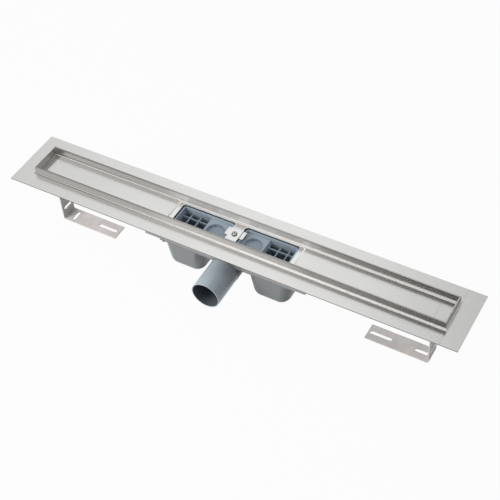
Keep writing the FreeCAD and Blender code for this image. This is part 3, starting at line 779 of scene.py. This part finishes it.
# The mould of the siphon, in millimetres
BOWL_TOP = (39.5, 38.0)          # half length and half width of a bowl
BOWL_FOOT = (31.0, 36.5)         # the same at its foot
BOWL_HEIGHT = 52.5               # between the two
BOWL_CORNER = 16.5               # radius of the upright edges
BOWL_FOOT_ROUND = 15.0           # radius round the foot
BOWL_PLAY = 0.03                 # how far the mould stands off the flat sides
BOWL_X = 79.0                    # from the middle to a bowl's axis
MOULD_TOP = -30.0                # bowls, duct and drum end up here, inside the block
MOULD_BLOCK = ((-200.0, -60.0, -36.4), (200.0, 60.0, 10.0))
MOULD_DUCT = ((-44.6, -23.6, -56.1), (44.6, 23.6, MOULD_TOP))
MOULD_DRUM = ((-25.7, -55.0, -77.0), (25.7, 24.0, MOULD_TOP))


def in_metres(corner):
    return [v * MM for v in corner]


def bowl_blank(x):
    """A tapered bowl with round upright edges and a ball-round foot."""
    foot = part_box("siphon_body")[0].z
    blank = block("bowl_blank", (-0.5, -0.5, foot), (0.5, 0.5, MOULD_TOP * MM))
    start_x, start_y = [(half + BOWL_PLAY) * MM for half in BOWL_FOOT]
    taper_x, taper_y = [(top - low) / BOWL_HEIGHT for top, low in zip(BOWL_TOP, BOWL_FOOT)]
    for vertex in blank.data.vertices:
        up = vertex.co.z - foot
        vertex.co.x = math.copysign(start_x + taper_x * up, vertex.co.x)
        vertex.co.y = math.copysign(start_y + taper_y * up, vertex.co.y)
    bevel_edges(blank, lambda a, b: abs(a.z - b.z) > 10 * MM, BOWL_CORNER * MM)
    bevel_edges(blank, lambda a, b: max(a.z, b.z) < foot + MM, BOWL_FOOT_ROUND * MM)
    return placed(blank, move=(x, 0, 0))


def bowl_mould():
    """What stays of the siphon body once the bowls' corners are rounded like a ball."""
    keep = block("keep", *map(in_metres, MOULD_BLOCK))
    for name, corners in (("duct", MOULD_DUCT), ("drum", MOULD_DRUM)):
        combine(keep, block(name, *map(in_metres, corners)), "UNION")
    for side in (-1, 1):
        combine(keep, bowl_blank(side * BOWL_X * MM), "UNION")
    return keep


class DRAIN_OT_outlet(bpy.types.Operator):
    """Turns the outlet pipe with an eased mouth"""
    bl_idname = "drain.outlet"
    bl_label = "Outlet pipe"

    def execute(self, context):
        plastic = context.scene.drain_plastic
        lo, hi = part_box("outlet_pipe")
        radius = (hi.x - lo.x) / 2
        wall = 1.8 * MM
        ease = 0.35 * MM
        length = hi.y - lo.y
        bore = radius - wall
        outline = [(bore, ease), (bore + ease, 0), (radius - ease, 0), (radius, ease),
                   (radius, length), (bore, length), (bore, ease)]
        pipe = turned("outlet_pipe_turned", outline, steps=96)
        placed(pipe, Matrix.Rotation(math.radians(-90), 4, "X"), (0, lo.y, (lo.z + hi.z) / 2))
        smooth(pipe)
        # The bore's dark inside is painted shade.
        surface = moulded_plastic("pipe_blue_grey", tuple(plastic.pipe_tint), roughness=0.27,
                                  bore=((lo.z + hi.z) / 2, bore))
        finish(pipe, surface, "pipe_plastic", "outlet_pipe")
        return {"FINISHED"}


class DRAIN_OT_inserts(bpy.types.Operator):
    """Rounds the two trap inserts"""
    bl_idname = "drain.inserts"
    bl_label = "Trap inserts"

    def execute(self, context):
        plastic = context.scene.drain_plastic
        # Below 15 mm down, the inserts are darkened by painted shade.
        surface = moulded_plastic("insert_blue_grey", tuple(plastic.insert_tint), roughness=0.30,
                                  deep=-15 * MM)
        for side in ("left", "right"):
            node = "trap_insert_" + side
            insert = rounded_copy(node, node + "_moulded", plastic.mould_radius)
            finish(insert, surface, "insert_plastic", node)
        return {"FINISHED"}


class DRAIN_OT_seals(bpy.types.Operator):
    """Gives the window seals and the gasket their black rubber"""
    bl_idname = "drain.seals"
    bl_label = "Seals"

    def execute(self, context):
        plastic = context.scene.drain_plastic
        surface = rubber("seal_black", tuple(plastic.rubber_tint))
        for node in ("window_seal_left", "window_seal_right", "siphon_gasket"):
            repaint(node, surface)
        return {"FINISHED"}


class DRAIN_OT_clamp(bpy.types.Operator):
    """Makes the clamp that holds the inserts: its plate, socket screw and nut"""
    bl_idname = "drain.clamp"
    bl_label = "Clamp"

    def execute(self, context):
        plate = rounded_copy("clamp_plate", "clamp_plate_eased", width=0.3 * MM)
        finish(plate, plate_steel(), "plate_steel", "clamp_plate")
        repaint("clamp_nut", fastener_steel())
        lo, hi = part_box("clamp_screw")
        head = hi.x
        shank = 2.5 * MM
        key_flats = 3.0 * MM
        key_depth = 1.9 * MM
        outline = [(0, lo.z), (shank - 0.4 * MM, lo.z), (shank, lo.z + 0.5 * MM), (shank, PLATE_Z),
                   (head - 0.2 * MM, PLATE_Z), (head, PLATE_Z + 0.3 * MM), (head, PLATE_Z + 1.0 * MM),
                   (head * 0.90, hi.z - 0.7 * MM), (head * 0.72, hi.z - 0.2 * MM),
                   (head * 0.5, hi.z), (0, hi.z)]
        screw = turned("clamp_screw_button", outline)
        key = hex_prism("key", key_flats, hi.z - key_depth, hi.z + MM)
        combine(screw, key, "DIFFERENCE")
        smooth(screw)
        finish(screw, fastener_steel(), "fastener_steel", "clamp_screw")
        return {"FINISHED"}


class DRAIN_OT_cap_nuts(bpy.types.Operator):
    """Makes one domed cap nut and sets it on each of the siphon's studs"""
    bl_idname = "drain.cap_nuts"
    bl_label = "Cap nuts"

    def execute(self, context):
        plastic = context.scene.drain_plastic
        lo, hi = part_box("siphon_nuts")
        flats = 5.5 * MM
        corner = flats / math.sqrt(3)
        height = hi.z - lo.z
        hex_height = 0.55 * height
        bar = hex_prism("cap_nut", flats, -hex_height, 0)
        ease = 0.45 * MM
        outline = [(0, -hex_height), (corner - 2 * ease, -hex_height), (corner, -hex_height + ease),
                   (corner, -ease), (corner - 2 * ease, 0), (0, 0)]
        combine(bar, turned("blank", outline), "INTERSECT")
        dome = 0.46 * flats
        rise = height - hex_height
        points = [(0, -height)]
        for i in range(1, 7):
            a = math.radians(15 * i)
            points.append((dome * math.sin(a), -hex_height - rise * math.cos(a)))
        points += [(dome, -hex_height + ease), (0, -hex_height + ease)]
        combine(bar, turned("dome", points, steps=40), "UNION")
        smooth(bar)
        stud_x = hi.x - corner
        stud_y = hi.y - flats / 2
        places = [(sx * stud_x, sy * stud_y, hi.z) for sx in (-1, 1) for sy in (-1, 1)]
        names = [f"cap_nut_{i + 1}" for i in range(len(places))]
        nuts = join(copies(bar, names, places), "siphon_cap_nuts")
        surface = moulded_plastic("nut_black", tuple(plastic.nut_tint), roughness=0.42)
        finish(nuts, surface, "nut_plastic", "siphon_nuts")
        return {"FINISHED"}


class DRAIN_OT_feet(bpy.types.Operator):
    """Eases the folded feet and the lugs that carry them"""
    bl_idname = "drain.feet"
    bl_label = "Feet"

    def execute(self, context):
        steel = context.scene.drain_steel
        surface = pickled_steel("foot_steel", tuple(steel.bracket_tint), roughness=0.55, metallic=0.0)
        surface.node_tree.nodes["Principled BSDF"].inputs["Specular IOR Level"].default_value = 0.25
        for side in ("left", "right"):
            for node in ("foot_bracket_" + side, "bracket_lug_" + side):
                piece = rounded_copy(node, node + "_eased", width=0.25 * MM)
                finish(piece, surface, "bracket_steel", node)
        return {"FINISHED"}


class DRAIN_OT_foot_bolts(bpy.types.Operator):
    """Makes the hexagon bolt and nut that hold each foot to its lug"""
    bl_idname = "drain.foot_bolts"
    bl_label = "Foot bolts"

    def execute(self, context):
        lo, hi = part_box("bracket_bolts")
        nut_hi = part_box("bracket_nuts")[1].x
        axis_z = (lo.z + hi.z) / 2
        flats = 10.0 * MM
        head = 4.0 * MM
        nut = 5.0 * MM
        shank = 3.0 * MM
        thread = 9.0 * MM
        length = 16.0 * MM
        bolt = chamfered_hex("bolt", flats, length - head, length)
        combine(bolt, threaded_shank("shank", shank, 0, length - head + OVERLAP, thread), "UNION")
        smooth(bolt, degrees=25.0)
        nuts = chamfered_hex("nut", flats, 0, nut)
        hole = [(0, -MM), (shank, -MM), (shank, nut + MM), (0, nut + MM)]
        combine(nuts, turned("hole", hole, steps=32), "DIFFERENCE")
        smooth(nuts, degrees=25.0)
        for piece, name, node, start in ((bolt, "foot_bolts", "bracket_bolts", hi.x - length),
                                         (nuts, "foot_nuts", "bracket_nuts", nut_hi - nut)):
            left = bpy.data.objects.new("left", piece.data.copy())
            context.scene.collection.objects.link(left)
            placed(piece, Matrix.Rotation(math.radians(90), 4, "Y"), (start, 0, axis_z))
            placed(left, Matrix.Rotation(math.radians(-90), 4, "Y"), (-start, 0, axis_z))
            finish(join([piece, left], name), fastener_steel(), "fastener_steel", node)
        return {"FINISHED"}


def chamfered_hex(name, flats, low, high):
    """A hexagon along Z with the turned chamfer of a bolt head at both ends."""
    corner = flats / math.sqrt(3)
    ease = corner - flats / 2
    bar = hex_prism(name, flats, low, high)
    outline = [(0, low), (corner - ease, low), (corner, low + 0.5 * ease), (corner, high - 0.5 * ease),
               (corner - ease, high), (0, high)]
    combine(bar, turned("blank", outline), "INTERSECT")
    return bar


def threaded_shank(name, radius, low, high, thread):
    """A shank whose first stretch carries thread-like ridges."""
    depth = 0.35 * MM
    pitch = 1.0 * MM
    outline = [(0, low), (radius - 2 * depth, low)]
    z = low + pitch / 2
    while z < low + thread:
        outline += [(radius - depth, z), (radius, z + pitch / 2)]
        z += pitch
    outline += [(radius, high), (0, high)]
    return turned(name, outline, steps=24)


# Stage
FLOOR_WHITE = 0.96       # share of plain white that the camera and reflections see on the floor

# Strength of the sky by how far a direction leans to +X: behind the drain, before it and overhead
SKY_BEHIND = ((-0.60, 1.00), (-0.53, 1.06), (-0.48, 1.18), (-0.36, 1.30), (-0.27, 1.18), (-0.20, 0.95),
              (-0.15, 0.84), (0.0, 0.25), (0.1, 0.11), (0.24, 0.14), (0.40, 0.38), (0.60, 0.65))
SKY_BEFORE = ((-0.60, 1.30), (-0.48, 1.30), (-0.36, 1.25), (-0.27, 0.60), (-0.21, 0.06), (-0.15, 0.03),
              (0.06, 0.05), (0.25, 0.60), (0.60, 0.75))
SKY_OVERHEAD = ((-0.60, 0.10), (-0.48, 0.12), (-0.42, 0.50), (-0.37, 0.95), (-0.28, 2.20), (-0.20, 3.00),
                (-0.14, 3.00), (-0.04, 0.40), (0.1, 0.20), (0.30, 0.85), (0.60, 0.90))
SKY_REACH = 0.7                  # a row runs from minus this lean to plus this lean
SKY_PEAK = 4.0                   # the strength that a white stop stands for
SKY_TINT = (0.965, 1.0, 1.03, 1.0)
SKY_TURN = 0.12                  # over this lean in Y, to both sides, before turns into behind
STRIP_EDGE = (0.26, 0.40)        # leans in Y over which the strip overhead ends
HORIZON_EDGE = (0.24, 0.42)      # heights over which the pale band ends
HORIZON_SIDE = (-1, 0.18, 0)     # the band is brightest on this side
HORIZON_TURN = (-0.2, 0.5)       # and changes over this agreement with it
HORIZON_STRENGTH = (0.24, 1.10)
FAR_BOX = (0.70, 0.45, 0.55)     # the soft box far right stands in this direction
FAR_BOX_EDGE = (0.94, 0.985)
FAR_BOX_STRENGTH = 0.75
LAMP_PLACE = (-0.95, -1.15, 0.60)
LAMP_AIM = (0, -0.05, -0.05)
LAMP_SIZE = 0.9
LAMP_WATTS = 26.0


class DRAIN_OT_stage(bpy.types.Operator):
    """Sets the pale floor, the soft studio light and the camera"""
    bl_idname = "drain.stage"
    bl_label = "Stage"

    def execute(self, context):
        settings = context.scene.drain_stage
        build_floor(settings)
        build_sky(settings)
        hang_lamp(settings)
        place_camera(settings)
        context.scene.view_settings.view_transform = "Standard"
        return {"FINISHED"}


def build_floor(settings):
    deselect_all()
    bpy.ops.mesh.primitive_plane_add(size=settings.floor_size, location=(0, 0, FLOOR_Z))
    floor = bpy.context.object
    floor.name = "studio_floor"
    settle(floor)
    surface = Surface("pale_floor")
    cloud = surface.noise((3.0, 3.0, 3.0), detail=2.0)
    tint = tuple(settings.floor_tint)
    tone = surface.blend(surface.spread(cloud, 0, 1), scaled(tint, 0.99), tint)
    surface.link(tone, surface.shader.inputs["Base Color"])
    surface.set(Roughness=0.9)
    tree = surface.tree
    path = tree.nodes.new("ShaderNodeLightPath")
    seen = surface.calculate("MAXIMUM", path.outputs["Is Camera Ray"], path.outputs["Is Glossy Ray"])
    seen = surface.calculate("MAXIMUM", seen, path.outputs["Is Transmission Ray"])
    white = tree.nodes.new("ShaderNodeEmission")
    white.inputs["Color"].default_value = (1, 1, 1, 1)
    white.inputs["Strength"].default_value = 1.0
    mix = tree.nodes.new("ShaderNodeMixShader")
    surface.link(surface.spread(seen, 0, FLOOR_WHITE, 0, 1), mix.inputs["Fac"])
    surface.link(surface.shader.outputs[0], mix.inputs[1])
    surface.link(white.outputs[0], mix.inputs[2])
    surface.link(mix.outputs[0], tree.nodes["Material Output"].inputs["Surface"])
    floor.data.materials.append(surface.material)


def build_sky(settings):
    """Soft studio light: a sky that is bright on the left and dark on the right, a bright strip
    overhead, a soft box far right and a pale band round the horizon."""
    world = bpy.data.worlds.new("studio")
    bpy.context.scene.world = world
    world.use_nodes = True
    tree = world.node_tree
    tree.nodes.clear()
    place = tree.nodes.new("ShaderNodeTexCoord").outputs["Generated"]
    split = tree.nodes.new("ShaderNodeSeparateXYZ")
    tree.links.new(place, split.inputs[0])
    level = settings.sky

    def ramp(value, start, end, low=0, high=1, kind="SMOOTHSTEP"):
        node = tree.nodes.new("ShaderNodeMapRange")
        node.interpolation_type = kind
        for key, number in (("From Min", start), ("From Max", end), ("To Min", low), ("To Max", high)):
            node.inputs[key].default_value = number
        tree.links.new(value, node.inputs["Value"])
        return node.outputs["Result"]

    def mixed(factor, first, second):
        node = tree.nodes.new("ShaderNodeMix")
        for socket, value in (("Factor", factor), ("A", first), ("B", second)):
            tree.links.new(value, node.inputs[socket])
        return node.outputs["Result"]

    def towards(direction):
        """How closely the sky's direction agrees with another."""
        node = tree.nodes.new("ShaderNodeVectorMath")
        node.operation = "DOT_PRODUCT"
        node.inputs[1].default_value = Vector(direction).normalized()
        tree.links.new(place, node.inputs[0])
        return node.outputs["Value"]

    def along(points):
        """Strength by how far a direction leans to +X."""
        lean = ramp(split.outputs["X"], -SKY_REACH, SKY_REACH, kind="LINEAR")
        node = tree.nodes.new("ShaderNodeValToRGB")
        row = node.color_ramp.elements
        while len(row) < len(points):
            row.new(0.5)
        for element, (x, strength) in zip(row, points):
            element.position = (x + SKY_REACH) / (2 * SKY_REACH)
            element.color = (strength / SKY_PEAK, strength / SKY_PEAK, strength / SKY_PEAK, 1)
        tree.links.new(lean, node.inputs["Fac"])
        return ramp(node.outputs["Color"], 0, 1, 0, SKY_PEAK * level, "LINEAR")

    sky = mixed(ramp(split.outputs["Y"], -SKY_TURN, SKY_TURN), along(SKY_BEFORE), along(SKY_BEHIND))
    aside = tree.nodes.new("ShaderNodeMath")
    aside.operation = "ABSOLUTE"
    tree.links.new(split.outputs["Y"], aside.inputs[0])
    sky = mixed(ramp(aside.outputs[0], *STRIP_EDGE), along(SKY_OVERHEAD), sky)
    glow = tree.nodes.new("ShaderNodeValue")
    glow.outputs[0].default_value = FAR_BOX_STRENGTH * level
    sky = mixed(ramp(towards(FAR_BOX), *FAR_BOX_EDGE), sky, glow.outputs[0])
    dim, bright = HORIZON_STRENGTH
    horizon = ramp(towards(HORIZON_SIDE), *HORIZON_TURN, dim * level, bright * level)
    sky = mixed(ramp(split.outputs["Z"], *HORIZON_EDGE), horizon, sky)
    light = tree.nodes.new("ShaderNodeBackground")
    light.inputs["Color"].default_value = SKY_TINT
    tree.links.new(sky, light.inputs["Strength"])
    out = tree.nodes.new("ShaderNodeOutputWorld")
    tree.links.new(light.outputs[0], out.inputs["Surface"])


def hang_lamp(settings):
    """One broad lamp low on the left, which models the bowls and the pipe under the flange."""
    data = bpy.data.lights.new("low_soft_box", "AREA")
    data.shape = "SQUARE"
    data.size = LAMP_SIZE
    data.energy = LAMP_WATTS * settings.sky
    lamp = bpy.data.objects.new("low_soft_box", data)
    bpy.context.scene.collection.objects.link(lamp)
    lamp.location = LAMP_PLACE
    lamp.visible_glossy = False
    aim = Vector(LAMP_AIM) - lamp.location
    lamp.rotation_euler = aim.to_track_quat("-Z", "Y").to_euler()


def place_camera(settings):
    azimuth = settings.azimuth
    elevation = settings.elevation
    back = Vector((math.sin(azimuth) * math.cos(elevation), -math.cos(azimuth) * math.cos(elevation),
                   math.sin(elevation)))
    data = bpy.data.cameras.new("photo_camera")
    data.sensor_width = 36.0
    data.lens = settings.lens
    data.clip_end = 50.0
    camera = bpy.data.objects.new("photo_camera", data)
    bpy.context.scene.collection.objects.link(camera)
    level = back.to_track_quat("Z", "Y").to_matrix().to_4x4()
    roll = Matrix.Rotation(settings.roll, 4, back)
    place = Matrix.Translation(Vector(settings.target) + back * settings.distance)
    camera.matrix_world = place @ roll @ level
    bpy.context.scene.camera = camera


# Panel and registration
STEPS = (DRAIN_OT_stage, DRAIN_OT_channel, DRAIN_OT_plate, DRAIN_OT_pan, DRAIN_OT_siphon,
         DRAIN_OT_outlet, DRAIN_OT_inserts, DRAIN_OT_seals, DRAIN_OT_clamp, DRAIN_OT_cap_nuts,
         DRAIN_OT_feet, DRAIN_OT_foot_bolts)
SETTINGS = (("drain_steel", DrainSteelSettings), ("drain_plastic", DrainPlasticSettings),
            ("drain_stage", DrainStageSettings))


class DRAIN_PT_panel(bpy.types.Panel):
    """Lists the drain's settings and pieces"""
    bl_idname = "DRAIN_PT_panel"
    bl_label = "Linear shower drain"
    bl_space_type = "VIEW_3D"
    bl_region_type = "UI"
    bl_category = "Drain"

    def draw(self, context):
        for name, group in SETTINGS:
            box = self.layout.box()
            for key in group.__annotations__:
                box.prop(getattr(context.scene, name), key)
        for step in STEPS:
            self.layout.operator(step.bl_idname)


def register():
    for name, group in SETTINGS:
        bpy.utils.register_class(group)
        setattr(bpy.types.Scene, name, PointerProperty(type=group))
    for step in STEPS:
        bpy.utils.register_class(step)
    bpy.utils.register_class(DRAIN_PT_panel)


def unregister():
    bpy.utils.unregister_class(DRAIN_PT_panel)
    for step in reversed(STEPS):
        bpy.utils.unregister_class(step)
    for name, group in reversed(SETTINGS):
        delattr(bpy.types.Scene, name)
        bpy.utils.unregister_class(group)


def main():
    register()
    for step in STEPS:
        group, name = step.bl_idname.split(".")
        getattr(getattr(bpy.ops, group), name)()


if __name__ == "__main__":
    main()
